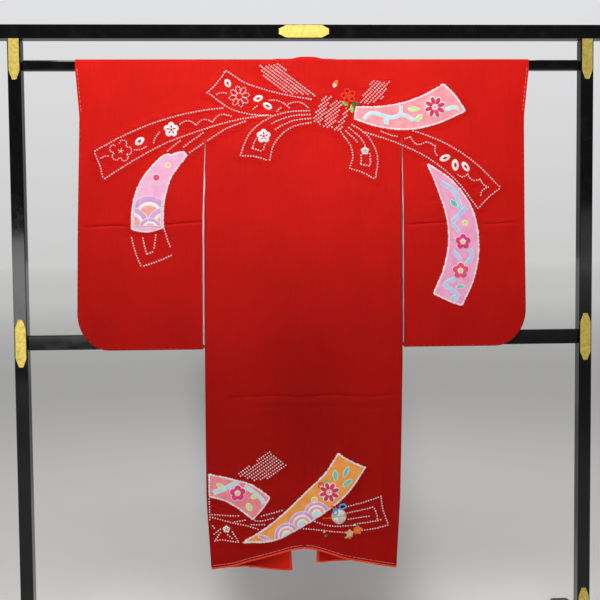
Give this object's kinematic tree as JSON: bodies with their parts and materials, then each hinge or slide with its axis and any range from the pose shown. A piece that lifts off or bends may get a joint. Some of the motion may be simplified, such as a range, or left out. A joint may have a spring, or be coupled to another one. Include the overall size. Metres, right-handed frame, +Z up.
{
  "type": "shichi-go-san kimono on a kimono stand",
  "caption": "Girl's lined silk kimono with long rounded sleeves, spread back outwards over the rod of a lacquered standing kimono stand with gilt plates.",
  "frame": {"origin": "on the floor, under the middle of the stand", "axes": "+Z up, +X along the rod, +Y from the shown back of the kimono towards its fronts"},
  "size_m": [1.57, 0.38, 1.5],
  "materials": {
    "red_silk": "crepe silk",
    "hem_silk": "plain silk",
    "pale_silk": "plain silk",
    "lacquer": "gloss lacquer",
    "gilt": "satin"
  },
  "bodies": {
    "root": {"top_beam": "lacquer", "post_left": "lacquer", "foot_left": "lacquer", "post_right": "lacquer", "foot_right": "lacquer", "hanging_rod": "lacquer", "low_rail": "lacquer", "plate_top_left_front": "gilt", "plate_middle_left_front": "gilt", "plate_base_left_front": "gilt", "plate_top_right_front": "gilt", "plate_middle_right_front": "gilt", "plate_base_right_front": "gilt", "plate_beam_front": "gilt", "plate_top_left_rear": "gilt", "plate_middle_left_rear": "gilt", "plate_base_left_rear": "gilt", "plate_top_right_rear": "gilt", "plate_middle_right_rear": "gilt", "plate_base_right_rear": "gilt", "plate_beam_rear": "gilt", "body_left": "red_silk", "okumi_left": "red_silk", "sleeve_left": "red_silk", "sleeve_lining_left_back": "pale_silk", "sleeve_lining_left_front": "pale_silk", "fuki_back_left": "hem_silk", "fuki_front_left": "hem_silk", "hem_lining_left": "hem_silk", "body_right": "red_silk", "okumi_right": "red_silk", "sleeve_right": "red_silk", "sleeve_lining_right_back": "pale_silk", "sleeve_lining_right_front": "pale_silk", "fuki_back_right": "hem_silk", "fuki_front_right": "hem_silk", "hem_lining_right": "hem_silk", "collar": "red_silk"}
  },
  "joints": []
}
